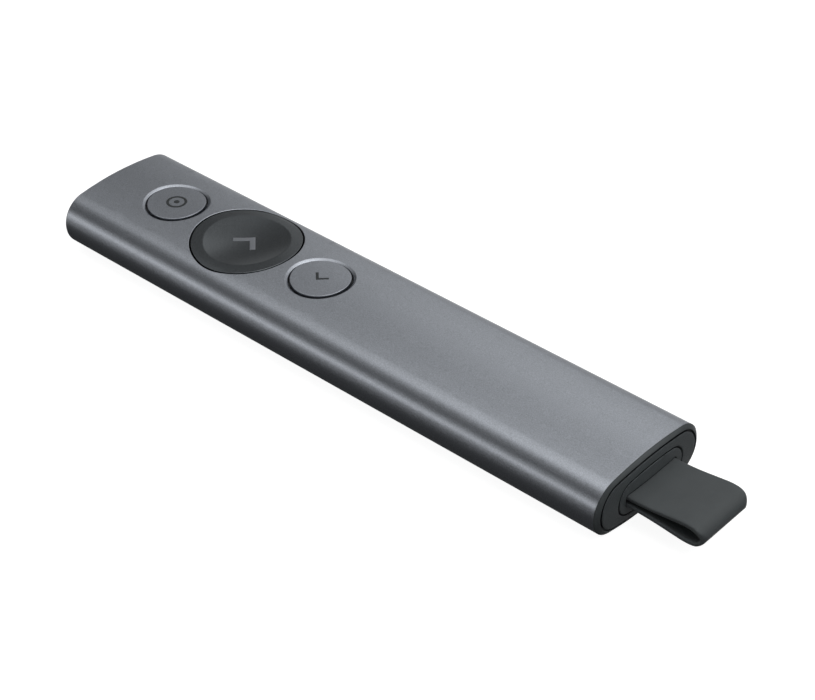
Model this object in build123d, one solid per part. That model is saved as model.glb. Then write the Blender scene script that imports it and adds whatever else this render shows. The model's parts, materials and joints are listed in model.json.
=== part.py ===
from build123d import *
import os
from math import sqrt, pi, cos, sin, radians

# Wireless presentation clicker, millimetres.
# +X runs from the front end (buttons) to the tail (receiver and strap), +Z is up,
# through the button tops.  The origin is the centre of the narrow flat land on the
# underside of the sleeve, so the object rests on z = 0.

os.makedirs("parts", exist_ok=True)

# ---------------------------------------------------------------- driving sizes
half_width = 14.05          # sleeve, half width
half_height = 6.10          # sleeve, half height of the full oval
side_radius = 5.47          # sleeve, radius of the rounded sides
wall = 1.20                 # sleeve wall
section_z = 6.00            # height of the section's centre; the underside is cut flat at z = 0
sleeve_front = -64.15
sleeve_tail = 64.00
crown_top = section_z + half_height

dome_apex = 65.65           # how far the domed ends reach from the middle
dome_drop = 0.80            # drop of the dome from its apex to the cap's rim
dome_power = 1.8
rim_a, rim_b, rim_r = 12.50, 5.45, 4.97     # groove between bezel and cap
groove = 0.32
seat = 0.25                 # thickness of the bezel flange that the caps sit on

pointer_x, next_x, back_x = -47.27, -28.25, -9.24
small_cap_r = 5.62
small_bore_r = 5.98
small_chamfer_w = 0.50
small_chamfer_d = 0.36
small_sink = 0.01           # cap top below the sleeve's crown
big_cap_r = 10.45
big_bore_r = 10.75
big_sink = 0.04
dish_r = 8.22
dish_depth = 0.95
travel = 0.35               # button travel

board_top = 4.40
board_t = 0.80
board_half = 10.00
guide_z0, guide_z1 = 7.40, 8.40
plunger_r, plunger_clear = 1.60, 0.06
stem_top = 6.50
screw_spots = [(-37.80, 6.0), (-37.80, -6.0), (-18.70, 6.0), (-18.70, -6.0)]

mouth_a, mouth_b, mouth_r = 8.80, 3.52, 3.12    # receiver mouth
plug_a, plug_b, plug_r = 8.58, 3.30, 2.90       # receiver body
well_front, well_step, well_tail = 40.00, 52.50, 63.00
usb_w, usb_h, usb_t = 12.00, 4.50, 0.30
usb_x0, usb_x1 = 41.20, 54.50

strap_half = 6.60
strap_tip = 80.00
strap_corner = 1.50         # rounding of the loop's two tip corners, in plan
root_z0, root_z1 = 4.66, 7.00   # strap where it enters the receiver

motor_z = 6.80
motor_r = 2.10


# ---------------------------------------------------------------- helpers
def crown_radius(a, b, r):
    return ((a - r) ** 2 + b * b - r * r) / (2 * (b - r))


def oval(a, b, r):
    """Four-centred oval, half width a, half height b, side radius r."""
    big = crown_radius(a, b, r)
    ty = (a - r) + r * (a - r) / (big - r)
    tz = r * (big - b) / (big - r)
    with BuildSketch() as s:
        with BuildLine():
            ThreePointArc((-ty, tz), (0, b), (ty, tz))
            ThreePointArc((ty, tz), (a, 0), (ty, -tz))
            ThreePointArc((ty, -tz), (0, -b), (-ty, -tz))
            ThreePointArc((-ty, -tz), (-a, 0), (-ty, tz))
        make_face()
    return s.sketch


def bar(sketch, x0, x1, z=section_z):
    """Extrude a cross section (drawn as Y across, Z up) from x0 to x1."""
    pl = Plane(origin=(x0, 0, z), x_dir=(0, 1, 0), z_dir=(1, 0, 0))
    return extrude(pl * sketch, amount=x1 - x0)


def section(off, x0, x1):
    """The sleeve's section offset inwards by off."""
    return bar(oval(half_width - off, half_height - off, side_radius - off), x0, x1)


def block(x0, x1, y0, y1, z0, z1):
    return Pos((x0 + x1) / 2, (y0 + y1) / 2, (z0 + z1) / 2) * Box(x1 - x0, y1 - y0, z1 - z0)


def post(x, y, z0, z1, r):
    return Pos(x, y, (z0 + z1) / 2) * Cylinder(r, z1 - z0)


def rod_x(x0, x1, y, z, r):
    return Pos((x0 + x1) / 2, y, z) * Rot(0, 90, 0) * Cylinder(r, x1 - x0)


def rod_y(y0, y1, x, z, r):
    return Pos(x, (y0 + y1) / 2, z) * Rot(90, 0, 0) * Cylinder(r, y1 - y0)


def prism_z(points, x, z0, z1):
    """Upright prism of a plan outline centred on (x, 0)."""
    with BuildSketch() as s:
        with BuildLine():
            Polyline(*points, close=True)
        make_face()
    return extrude(Pos(x, 0, z0) * s.sketch, amount=z1 - z0)


def write(name, shape):
    solids = list(shape.solids())
    out = solids[0] if len(solids) == 1 else Compound(children=solids)
    export_step(out, f"parts/{name}.step")


# Domed ends: the drop grows with the distance from the centre, measured in units
# of the rim oval.  The tool is everything outside the dome.
def dome_tool(sign):
    rows = []
    ny, nz = 31, 21
    for i in range(ny):
        y = -15.0 + 30.0 * i / (ny - 1)
        row = []
        for j in range(nz):
            z = -7.0 + 14.0 * j / (nz - 1)
            rho = sqrt((y / rim_a) ** 2 + (z / rim_b) ** 2)
            x = dome_apex - dome_drop * rho ** dome_power
            row.append(Vector(sign * x, y, section_z + z))
        rows.append(row)
    face = Face.make_surface_from_array_of_points(rows)
    return Solid(extrude(face, amount=4.0, dir=(sign, 0, 0)).solids()[0].wrapped)


tail_dome = dome_tool(1)
front_dome = dome_tool(-1)

# ---------------------------------------------------------------- sleeve
sleeve = section(0, sleeve_front, sleeve_tail) - section(wall, sleeve_front - 1, sleeve_tail + 1)
sleeve -= block(-80, 80, -20, 20, -5, 0)
for bx in (pointer_x, back_x):
    sleeve -= post(bx, 0, 8.5, 14, small_bore_r)
sleeve -= post(next_x, 0, 8.5, 14, big_bore_r)


def rim_edges(shape, bx, r):
    """Edges of the sleeve's outer skin round a button hole."""
    found = []
    for e in shape.edges():
        pts = [e @ t for t in (0.0, 0.25, 0.5, 0.75)]
        if all(abs(sqrt((p.X - bx) ** 2 + p.Y ** 2) - r) < 0.01 for p in pts):
            mid = pts[1]
            # outer skin height at this point
            if mid.Z > section_z + half_height - wall - 0.02 - 1.3 * (abs(mid.Y) > 9) + 0.0:
                if all(abs(skin_height(p.Y) - p.Z) < 0.02 for p in pts):
                    found.append(e)
    return found


def skin_height(y, off=0.0):
    a, b, r = half_width - off, half_height - off, side_radius - off
    big = crown_radius(half_width, half_height, side_radius) - off
    y = abs(y)
    ty = (a - r) + r * (a - r) / (big - r)
    if y <= ty:
        return section_z + b - big + sqrt(big * big - y * y)
    return section_z + sqrt(max(r * r - (y - (a - r)) ** 2, 0))


for bx in (pointer_x, back_x):
    ed = rim_edges(sleeve, bx, small_bore_r)
    sleeve = chamfer(ed, length=small_chamfer_d, length2=small_chamfer_w,
                     reference=[f for f in sleeve.faces() if f.geom_type == GeomType.CYLINDER
                                and abs(f.radius - small_bore_r) < 1e-3
                                and abs(f.bounding_box().center().X - bx) < 1][0])
sleeve = chamfer(rim_edges(sleeve, next_x, big_bore_r), length=0.10)

# ---------------------------------------------------------------- ends
spigot_off = wall + 0.03


def lip_blank(x_end):
    """The bezel's lip before it is bored: the sleeve's section, rounded over towards the end."""
    steps = [(0.0, 0.0), (0.03, 0.28), (0.10, 0.46), (0.25, 0.66), (0.55, 0.95)]
    out = None
    for (o0, x0), (o1, x1) in zip(steps, steps[1:]):
        rings = []
        for o, x in ((o0, x0), (o1, x1)):
            pl = Plane(origin=(x_end + x, 0, section_z), x_dir=(0, 1, 0), z_dir=(1, 0, 0))
            rings.append(pl * oval(half_width - o, half_height - o, side_radius - o))
        slab = loft(rings, ruled=True)
        out = slab if out is None else out + slab
    return out


def bezel(sign, inner, spigot_end):
    """End ring: flange against the sleeve's end, lip round the cap, spigot inside."""
    x_end = sleeve_tail if sign > 0 else -sleeve_front
    lip = lip_blank(x_end) - bar(oval(rim_a, rim_b, rim_r), x_end + seat, x_end + 3)
    spig = section(spigot_off, spigot_end, x_end)
    body = lip + spig
    body -= bar(inner, spigot_end - 1, x_end + 3)
    body -= block(-80, 80, -20, 20, -5, 0)
    if sign < 0:
        body = mirror(body, about=Plane.YZ)
    return body - (tail_dome if sign > 0 else front_dome)


well_outer = oval(mouth_a + 1.0, mouth_b + 1.0, mouth_r + 1.0)
tail_bezel = bezel(1, oval(mouth_a + 1.04, mouth_b + 1.04, mouth_r + 1.04), 56.0)
front_bezel = bezel(-1, oval(11.8, 3.85, 3.22), 58.0)

cap_oval = oval(rim_a - groove, rim_b - groove, rim_r - groove)
tail_cap = bar(cap_oval, sleeve_tail + seat, 67) + bar(well_outer, well_tail, sleeve_tail + seat)
tail_cap -= bar(oval(mouth_a, mouth_b, mouth_r), well_tail - 1, 68)
tail_cap -= tail_dome

front_x = -sleeve_front
front_cap = mirror(bar(cap_oval, front_x + seat, 67), about=Plane.YZ)
front_cap += mirror(bar(oval(11.76, 3.81, 3.18), front_x - 0.8, front_x + seat), about=Plane.YZ)
pipe_sk = SlotOverall(3.0, 1.2)
front_cap -= bar(SlotOverall(3.0, 1.2), -67, -60)
front_cap -= front_dome
light_pipe = bar(SlotOverall(2.96, 1.16), -67, -57.70) - front_dome
light_pipe += block(-58.70, -57.70, -1.0, 1.0, 4.55, 6.0)
status_led = block(-57.60, -56.60, -0.8, 0.8, board_top, board_top + 1.1)

# ---------------------------------------------------------------- lower chassis
tray = section(wall + 0.05, -57.90, well_front) - block(-80, 80, -20, 20, board_top, 20)
tray -= block(-80, 80, -board_half - 0.05, board_half + 0.05, board_top - board_t, 20)
hollow = section(wall + 0.95, -57.0, 39.0) & block(-57.0, 39.0, -9.0, 9.0, 0, 20)
tray -= hollow
for bx in (pointer_x, next_x, back_x):
    tray += post(bx, 0, 1.9, board_top - board_t, 2.0)
for sx, sy in screw_spots:
    tray += post(sx, sy, 2.0, board_top - board_t, 1.8)
for sx, sy in screw_spots:
    tray -= post(sx, sy, 1.95, 6, 0.80)
for rx in (4.0, 21.5):
    tray += block(rx - 0.5, rx + 0.5, -9.0, 9.0, 2.2, board_top - board_t)
tray &= section(wall + 0.05, -57.90, well_front)

# ---------------------------------------------------------------- upper chassis with button guides
guide_x0, guide_x1 = -56.50, -2.20
guide = block(guide_x0, guide_x1, -11.2, 11.2, guide_z0, guide_z1)
for s in (-1, 1):
    y0, y1 = sorted((s * 10.2, s * 11.2))
    guide += block(guide_x0, guide_x1, y0, y1, board_top, guide_z0)
for sx, sy in screw_spots:
    guide += post(sx, sy, board_top, guide_z0, 1.8)
for sx, sy in screw_spots:
    guide -= post(sx, sy, board_top - 1, guide_z1 + 1, 0.88)
    guide -= post(sx, sy, guide_z1 - 0.9, guide_z1 + 1, 1.60)
for bx in (pointer_x, next_x, back_x):
    guide -= post(bx, 0, 5, 10, plunger_r + plunger_clear)
for bx in (pointer_x, back_x):
    guide -= post(bx + 3.6, 0, 5, 10, 0.70 + plunger_clear)
    guide -= post(bx - 3.6, 0, 5, 10, 0.70 + plunger_clear)
for dx in (-6.5, 6.5):
    guide -= post(next_x + dx, 0, 5, 10, 0.90 + plunger_clear)

screws = []
for sx, sy in screw_spots:
    s = post(sx, sy, guide_z1 - 0.9, guide_z1 - 0.1, 1.5) + post(sx, sy, 2.1, guide_z1 - 0.9, 0.79)
    s -= Pos(sx, sy, guide_z1 - 0.1) * Box(1.7, 0.35, 0.7)
    s -= Pos(sx, sy, guide_z1 - 0.1) * Box(0.35, 1.7, 0.7)
    screws.append(s)

# ---------------------------------------------------------------- circuit board and what is on it
pcb = block(-57.80, well_front - 0.02, -board_half, board_half, board_top - board_t, board_top)
for sx, sy in screw_spots:
    pcb -= post(sx, sy, 3, 5, 0.95)
pcb -= post(-55.5, 8.2, 3, 5, 0.6)
radio_chip = block(-40.8, -34.8, -3.0, 3.0, board_top, board_top + 0.85)
motion_sensor = block(-20.2, -17.2, -1.5, 1.5, board_top, board_top + 0.90)
crystal = block(-43.2, -41.2, 2.9, 5.4, board_top, board_top + 0.60)
antenna = block(-56.3, -54.7, -8.6, -3.4, board_top, board_top + 1.20)
charger_chip = block(34.5, 37.5, -1.5, 1.5, board_top - board_t - 0.85, board_top - board_t)

housings, covers, domes, stems = [], [], {}, {}
for nm, bx in (("pointer", pointer_x), ("next", next_x), ("back", back_x)):
    h = block(bx - 2.3, bx + 2.3, -2.3, 2.3, board_top, 5.90) - post(bx, 0, 4.70, 7, 2.0)
    housings.append(h)
    c = block(bx - 2.3, bx + 2.3, -2.3, 2.3, 5.90, 6.10)
    for s in (-1, 1):
        y0, y1 = sorted((s * 2.3, s * 2.5))
        c += block(bx - 1.2, bx + 1.2, y0, y1, 4.60, 6.10)
    c -= post(bx, 0, 5, 7, 1.02)
    covers.append(c)
    ro = (1.9 ** 2 + 0.5 ** 2) / (2 * 0.5)
    cz = 5.20 - ro
    d = Pos(bx, 0, cz) * Sphere(ro) - Pos(bx, 0, cz) * Sphere(ro - 0.09)
    d &= block(bx - 3, bx + 3, -3, 3, 4.70, 6)
    domes[nm] = d
    stems[nm] = post(bx, 0, 5.22, stem_top, 0.92) + post(bx, 0, 5.22, 5.60, 1.40)

# ---------------------------------------------------------------- battery
cell = block(11.5, 31.5, -9.0, 9.0, board_top + 0.25, 8.65)
cell = fillet(cell.edges().filter_by(Axis.X) + cell.edges().filter_by(Axis.Z), 0.8)
tape = block(13.5, 29.5, -7.0, 7.0, board_top, board_top + 0.25)


def lead(points, r, bend):
    path = FilletPolyline(*points, radius=bend)
    prof = Plane(origin=path @ 0, z_dir=path % 0) * Circle(r)
    return sweep(prof, path=path)


battery_leads = [lead([(11.5, y, 6.4), (9.4, y, 6.4), (9.4, y, board_top)], 0.35, 0.9) for y in (5.6, 6.8)]

# ---------------------------------------------------------------- charging socket
usbc_z = board_top + 1.60
usbc_shell = bar(RectangleRounded(8.94, 3.20, 1.28), 33.0, 40.30, usbc_z)
usbc_shell -= bar(RectangleRounded(8.44, 2.70, 1.03), 34.2, 41.0, usbc_z)
usbc_tongue = block(34.2, 39.9, -3.34, 3.34, usbc_z - 0.35, usbc_z + 0.35)
usbc_tongue += bar(RectangleRounded(8.40, 2.66, 1.0), 34.2, 35.2, usbc_z)

# ---------------------------------------------------------------- dock well
well = bar(well_outer, well_front, well_tail)
for s in (-1, 1):
    y0, y1 = sorted((s * 9.2, s * 12.5))
    well += block(42.0, 54.0, y0, y1, 5.0, 7.0)
well -= bar(oval(mouth_a, mouth_b, mouth_r), well_step, well_tail + 1)
well -= bar(RectangleRounded(usb_w + 0.5, usb_h + 0.5, 0.6), 40.90, well_step + 1)
well -= bar(RectangleRounded(9.10, 3.36, 1.36), well_front - 1, 41.5, usbc_z)
for s in (-1, 1):
    y0, y1 = sorted((s * 6.0, s * 6.78))
    well -= block(42.5, 49.5, y0, y1, 4.9, 7.1)


def leaf(s):
    """Bowed spring strip that presses on the side of the receiver's plug."""
    pts = [(42.6, 6.60), (46.0, 6.10), (49.4, 6.60)]
    with BuildSketch() as sk:
        with BuildLine():
            ThreePointArc(pts[0], pts[1], pts[2])
            Line(pts[2], (49.4, 6.75))
            ThreePointArc((49.4, 6.75), (46.0, 6.25), (42.6, 6.75))
            Line((42.6, 6.75), pts[0])
        make_face()
    sol = extrude(Pos(0, 0, 5.1) * sk.sketch, amount=1.8)
    return mirror(sol, about=Plane.XZ) if s < 0 else sol


clips = [leaf(1), leaf(-1)]

# ---------------------------------------------------------------- vibration motor
motor_can = rod_x(-1.0, 6.0, 0, motor_z, motor_r) - rod_x(-2.0, 5.8, 0, motor_z, motor_r - 0.2)
motor_can -= rod_x(5, 7, 0, motor_z, 0.45)
motor_end = rod_x(-1.6, -1.0, 0, motor_z, motor_r) + rod_x(-1.0, -0.2, 0, motor_z, motor_r - 0.22)
motor_end -= rod_x(-0.9, 0.5, 0, motor_z, 0.45)
motor_shaft = rod_x(-0.8, 9.6, 0, motor_z, 0.40)
armature = rod_x(0.4, 5.3, 0, motor_z, 1.70) - rod_x(0, 6, 0, motor_z, 0.40)
weight = rod_x(6.5, 9.4, 0, motor_z, 2.15) & block(6, 10, -3, 3, motor_z - 3, motor_z - 0.2)
weight += rod_x(6.5, 9.4, 0, motor_z, 0.90)
weight -= rod_x(6, 10, 0, motor_z, 0.40)
cradle = block(0.2, 5.2, -2.7, 2.7, board_top, 6.10) - rod_x(-1, 7, 0, motor_z, motor_r)
motor_leads = [lead([(-1.6, y, motor_z), (-3.4, y, motor_z), (-3.4, y, board_top)], 0.25, 0.8) for y in (-0.9, 0.9)]

# ---------------------------------------------------------------- buttons
def chevron(apex, arm, t, sense):
    """Right-angled arrow head; sense +1 points along +Y."""
    k = 1 / sqrt(2)
    ox, oy = arm * k, apex - arm * k
    ix, iy = ox - t * k, oy - t * k
    p = [(0, apex), (ox, oy), (ix, iy), (0, apex - t * sqrt(2)), (-ix, iy), (-ox, oy)]
    return [(x, sense * y) for x, y in p]


def small_cap(bx):
    c = post(bx, 0, 10.90, 14, small_cap_r) & section(small_sink, bx - 8, bx + 8)
    top = [e for e in c.edges() if e.center().Z > 11.5]
    return chamfer(top, 0.10)


def small_carrier(bx):
    c = post(bx, 0, 9.60, 10.45, 6.60) + post(bx, 0, 10.45, 10.90, 5.50)
    c += post(bx, 0, stem_top, 9.60, plunger_r)
    for dx in (-3.6, 3.6):
        c += post(bx + dx, 0, 7.60, 9.60, 0.70)
    return c


icon_floor = crown_top - small_sink - 0.30
ring_tool = post(pointer_x, 0, icon_floor, 14, 2.0) - post(pointer_x, 0, icon_floor - 1, 15, 1.5)
dot_tool = post(pointer_x, 0, icon_floor, 14, 0.55)
pointer_cap = small_cap(pointer_x)
pointer_icon = [pointer_cap & ring_tool, pointer_cap & dot_tool]
pointer_cap = pointer_cap - ring_tool - dot_tool

back_tool = prism_z(chevron(1.10, 2.333, 0.50, -1), back_x - 0.10, icon_floor, 14)
back_cap = small_cap(back_x)
back_icon = back_cap & back_tool
back_cap = back_cap - back_tool

# Large cap: its top follows the sleeve's crown; the dish is a shallow toric hollow
# whose rim is a circle of radius dish_r in plan.
crown_r = crown_radius(half_width, half_height, side_radius) - big_sink
cap_crown = crown_top - big_sink
dish_bottom = cap_crown - dish_depth
r_along = dish_r ** 2 / (2 * dish_depth)
r_across = dish_r ** 2 / (2 * (dish_depth - dish_r ** 2 / (2 * crown_r)))
axis_z = dish_bottom + r_across
with BuildSketch(Plane.XZ) as dsk:
    with BuildLine():
        e = 9.6
        h = dish_bottom + r_along - sqrt(r_along ** 2 - e ** 2)
        ThreePointArc((next_x - e, h), (next_x, dish_bottom), (next_x + e, h))
        Line((next_x + e, h), (next_x + e, 13.2))
        Line((next_x + e, 13.2), (next_x - e, 13.2))
        Line((next_x - e, 13.2), (next_x - e, h))
    make_face()
spin = Axis((next_x, 0, axis_z), (1, 0, 0))
dish_tool = revolve(dsk.sketch.rotate(spin, -7.6), axis=spin, revolution_arc=15.2)

next_cap = post(next_x, 0, 9.70, 14, big_cap_r) & section(big_sink, next_x - 12, next_x + 12)
next_cap -= dish_tool
next_cap -= post(next_x, 0, 9.0, 10.45, 9.20) - post(next_x, 0, 8.5, 11, 3.0)
next_tool = prism_z(chevron(2.37, 4.20, 1.07, 1), next_x - 0.15, 10.80, 14)
next_icon = next_cap & next_tool
next_cap -= next_tool

next_carrier = post(next_x, 0, 8.90, 9.70, 10.0)
for s in (-1, 1):
    x0, x1 = sorted((next_x + s * 9.0, next_x + s * 11.7))
    next_carrier += block(x0, x1, -3.0, 3.0, 8.90, 9.70)
    x0, x1 = sorted((next_x + s * 10.6, next_x + s * 11.7))
    next_carrier += block(x0, x1, -3.0, 3.0, 9.70, 10.70)
next_carrier += post(next_x, 0, stem_top, 8.90, plunger_r)
for dx in (-6.5, 6.5):
    next_carrier += post(next_x + dx, 0, 7.50, 8.90, 0.90)

# ---------------------------------------------------------------- receiver
collar = bar(oval(plug_a, plug_b, plug_r), 52.90, 53.90)
collar -= bar(RectangleRounded(usb_w + 0.02, usb_h + 0.02, 0.5), 52, 55)
receiver_housing = bar(oval(plug_a, plug_b, plug_r), 53.90, 67.0)
receiver_housing -= block(53.0, 60.80, -6.90, 6.90, section_z - 2.26, section_z + 2.26)
receiver_housing -= block(61.20, 68.0, -strap_half - 0.05, strap_half + 0.05, root_z0 - 0.05, root_z1 + 0.05)
receiver_housing -= block(64.30, 68.0, -strap_half - 0.30, strap_half + 0.30, root_z0 - 0.05, root_z1 + 0.30)
pin_x, pin_z = 62.90, (root_z0 + root_z1) / 2
receiver_housing -= rod_y(-8.0, 8.0, pin_x, pin_z, 0.60)
receiver_housing -= tail_dome

usb_shell = bar(RectangleRounded(usb_w, usb_h, 0.5), usb_x0, usb_x1)
usb_shell -= bar(RectangleRounded(usb_w - 2 * usb_t, usb_h - 2 * usb_t, 0.25), usb_x0 - 1, usb_x1 + 1)
for s in (-1, 1):
    usb_shell -= block(45.2, 47.4, s * 3.0 - 1.0, s * 3.0 + 1.0, 0, 12)
usb_tongue = block(41.60, 54.00, -5.55, 5.55, section_z + 0.10, section_z + 1.93)
usb_contacts = [block(42.3, 53.9, y - 0.5, y + 0.5, section_z, section_z + 0.10) for y in (-3.5, -1.0, 1.0, 3.5)]
receiver_pcb = block(54.02, 60.60, -6.5, 6.5, 5.50, 6.10) - block(54, 54.55, -7, -5.6, 5, 7) - block(54, 54.55, 5.6, 7, 5, 7)
receiver_chip = block(56.0, 60.0, -2.0, 2.0, 6.10, 6.90)

# Strap: one rubber strip folded into a flat loop; both ends run into the receiver.
skin_pts = [(65.4, root_z1), (66.8, 6.99), (68.2, 7.07), (70.2, 7.23), (72.4, 7.50), (74.6, 7.80), (76.4, 7.99),
            (78.1, 7.83), (79.2, 7.20), (79.8, 6.45), (strap_tip, 5.70), (79.68, 4.95), (79.0, 4.40), (78.1, 4.07),
            (76.4, 3.97), (74.6, 4.11), (72.4, 4.33), (70.2, 4.52), (68.2, 4.63), (66.8, 4.67), (65.4, root_z0)]
gap_pts = [(64.90, 6.14), (66.6, 6.18), (68.7, 6.32), (70.8, 6.52), (72.9, 6.74), (75.4, 7.03), (77.1, 7.10),
           (78.3, 6.80), (79.0, 6.22), (79.17, 5.70), (78.8, 5.20), (78.0, 4.90), (76.4, 4.80), (74.4, 4.95),
           (72.4, 5.15), (70.2, 5.35), (68.2, 5.46), (66.6, 5.51), (64.90, 5.52)]
with BuildSketch(Plane.XZ) as ssk:
    with BuildLine():
        Spline(*skin_pts, tangents=[(1, 0), (-1, 0)])
        Line((65.4, root_z0), (61.25, root_z0))
        Line((61.25, root_z0), (61.25, root_z1))
        Line((61.25, root_z1), (65.4, root_z1))
    make_face()
    with BuildLine():
        Spline(*gap_pts, tangents=[(1, 0), (-1, 0)])
        ThreePointArc(gap_pts[-1], (64.59, 5.83), gap_pts[0])
    make_face(mode=Mode.SUBTRACT)
strap = extrude(ssk.sketch, amount=strap_half, both=True)
plan = block(60, strap_tip, -strap_half, strap_half, 0, 12)
plan = fillet(plan.edges().filter_by(Axis.Z).group_by(Axis.X)[-1], strap_corner)
strap &= plan
strap -= rod_y(-9, 9, pin_x, pin_z, 0.62)
strap_pin = rod_y(-7.95, 7.95, pin_x, pin_z, 0.59)

# ---------------------------------------------------------------- write every piece
pieces = {
    "body_sleeve": sleeve,
    "front_bezel": front_bezel,
    "front_cap": front_cap,
    "status_light_pipe": light_pipe,
    "status_led": status_led,
    "tail_bezel": tail_bezel,
    "tail_cap": tail_cap,
    "dock_well": well,
    "dock_spring_clips": clips,
    "lower_chassis": tray,
    "button_guide": guide,
    "chassis_screws": screws,
    "main_board": pcb,
    "radio_chip": radio_chip,
    "motion_sensor": motion_sensor,
    "crystal": crystal,
    "chip_antenna": antenna,
    "charger_chip": charger_chip,
    "switch_housings": housings,
    "switch_covers": covers,
    "pointer_switch_dome": domes["pointer"],
    "next_switch_dome": domes["next"],
    "back_switch_dome": domes["back"],
    "battery_cell": cell,
    "battery_tape": tape,
    "battery_leads": battery_leads,
    "charging_socket_shell": usbc_shell,
    "charging_socket_tongue": usbc_tongue,
    "motor_can": motor_can,
    "motor_end_cap": motor_end,
    "motor_cradle": cradle,
    "motor_leads": motor_leads,
    "motor_shaft": motor_shaft,
    "motor_armature": armature,
    "motor_weight": weight,
    "pointer_button_cap": pointer_cap,
    "pointer_icon": pointer_icon,
    "pointer_carrier": small_carrier(pointer_x),
    "pointer_switch_stem": stems["pointer"],
    "next_button_cap": next_cap,
    "next_icon": next_icon,
    "next_carrier": next_carrier,
    "next_switch_stem": stems["next"],
    "back_button_cap": back_cap,
    "back_icon": back_icon,
    "back_carrier": small_carrier(back_x),
    "back_switch_stem": stems["back"],
    "receiver_housing": receiver_housing,
    "receiver_collar": collar,
    "receiver_plug_shell": usb_shell,
    "receiver_plug_tongue": usb_tongue,
    "receiver_contacts": usb_contacts,
    "receiver_board": receiver_pcb,
    "receiver_chip": receiver_chip,
    "strap_loop": strap,
    "strap_pin": strap_pin,
}

for name, shape in pieces.items():
    if isinstance(shape, list):
        solids = [s for part in shape for s in part.solids()]
        export_step(Compound(children=solids), f"parts/{name}.step")
    else:
        write(name, shape)

total = sum(s.volume for sh in pieces.values() for s in (sh if isinstance(sh, list) else [sh]))
print(len(pieces), "pieces, total volume", round(total, 1), "mm3")
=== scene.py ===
import bpy
import bmesh
import json
import math
import numpy as np
from mathutils import Matrix, Vector
from mathutils.bvhtree import BVHTree


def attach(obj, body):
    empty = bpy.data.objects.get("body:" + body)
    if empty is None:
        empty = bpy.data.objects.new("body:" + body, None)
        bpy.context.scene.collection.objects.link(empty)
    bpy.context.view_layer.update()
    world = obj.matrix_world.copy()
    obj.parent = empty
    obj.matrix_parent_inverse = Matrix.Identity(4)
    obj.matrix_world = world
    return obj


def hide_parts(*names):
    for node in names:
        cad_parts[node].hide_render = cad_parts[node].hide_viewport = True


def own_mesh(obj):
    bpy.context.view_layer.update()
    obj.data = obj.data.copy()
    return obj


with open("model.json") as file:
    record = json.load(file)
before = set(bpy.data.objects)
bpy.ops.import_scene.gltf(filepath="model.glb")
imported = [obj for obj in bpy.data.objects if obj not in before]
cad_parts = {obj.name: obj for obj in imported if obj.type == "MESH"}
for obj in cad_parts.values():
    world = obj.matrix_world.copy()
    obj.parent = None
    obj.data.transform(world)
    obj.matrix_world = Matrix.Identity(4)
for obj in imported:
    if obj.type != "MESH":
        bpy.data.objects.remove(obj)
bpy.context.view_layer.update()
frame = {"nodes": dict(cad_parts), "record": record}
NODES = frame["nodes"]
pi = math.pi

# ------------------------------------------------------------------ camera
cam_data = bpy.data.cameras.new("camera")
cam_data.lens = 89.59
cam_data.sensor_width = 36.0
cam_data.sensor_fit = "HORIZONTAL"
cam_data.clip_start = 0.01
cam_data.clip_end = 50.0
cam = bpy.data.objects.new("camera", cam_data)
bpy.context.scene.collection.objects.link(cam)
cam.matrix_world = Matrix(((0.7444, -0.39823, 0.53598, 0.20402),
                           (0.66772, 0.44846, -0.59417, -0.21308),
                           (-0.00375, 0.80019, 0.59974, 0.22125),
                           (0, 0, 0, 1)))
bpy.context.scene.camera = cam

# ------------------------------------------------------------------ sizes, in millimetres, as in the CAD
A, B, R = 14.05, 6.10, 5.47
WALL, SZ = 1.20, 6.00
FRONT, TAIL = -64.15, 64.00
FRONT_EDGE = 0.24                                           # round on the sleeve's front end
DOMES = {-1: (65.65, 0.92), 1: (65.36, 0.62)}               # front, tail: apex and drop at the rim
RIM, CAP = (13.03, 5.49, 4.80), (12.63, 5.09, 4.40)
TAIL_MOUTH, TAIL_PLUG = (8.80, 3.86, 3.48), (8.45, 3.51, 3.13)
MOUTH = (8.80, 3.52, 3.12)
PLUG = (8.58, 3.30, 2.90)
WELL = (9.80, 4.52, 4.12)
PX, NX, BX = -47.27, -28.25, -9.24
SMALL_R, SMALL_BORE, CH_W, CH_D, SMALL_SINK = 5.62, 5.98, 0.50, 0.36, 0.01
BIG_R, BIG_BORE, BIG_SINK, DISH_R, DISH_D = 10.45, 10.75, 0.04, 8.22, 0.95
BIGR = ((A - R) ** 2 + B * B - R * R) / (2 * (B - R))
ALPHA = math.atan2((A - R) + R * (A - R) / (BIGR - R), R * (BIGR - B) / (BIGR - R) - (B - BIGR))


# ------------------------------------------------------------------ section curves
def section_point(phi, off=0.0):
    """Point of the sleeve's section whose outward normal leans phi from +Z towards +Y."""
    p = (phi + pi) % (2 * pi) - pi
    if abs(p) <= ALPHA:
        c, r = (0.0, B - BIGR), BIGR
    elif abs(p) >= pi - ALPHA:
        c, r = (0.0, BIGR - B), BIGR
    else:
        c, r = (math.copysign(A - R, p), 0.0), R
    return c[0] + (r - off) * math.sin(p), SZ + c[1] + (r - off) * math.cos(p)


def skin(y, off=0.0):
    y = np.abs(np.asarray(y, float))
    edge = (BIGR) * math.sin(ALPHA) - off * math.sin(ALPHA)
    top = SZ + B - BIGR + np.sqrt((BIGR - off) ** 2 - np.minimum(y, edge) ** 2)
    side = SZ + np.sqrt(np.maximum((R - off) ** 2 - (y - (A - R)) ** 2, 0))
    return np.where(y <= edge, top, side)


def skin_normal(y):
    """Normal of the crown at plan position y."""
    y = np.asarray(y, float)
    edge = BIGR * math.sin(ALPHA)
    s = np.where(np.abs(y) <= edge, y / BIGR, np.sign(y) * np.clip((np.abs(y) - (A - R)) / R, -1, 1))
    return np.stack([np.zeros_like(s), s, np.sqrt(1 - s * s)], -1)


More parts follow.
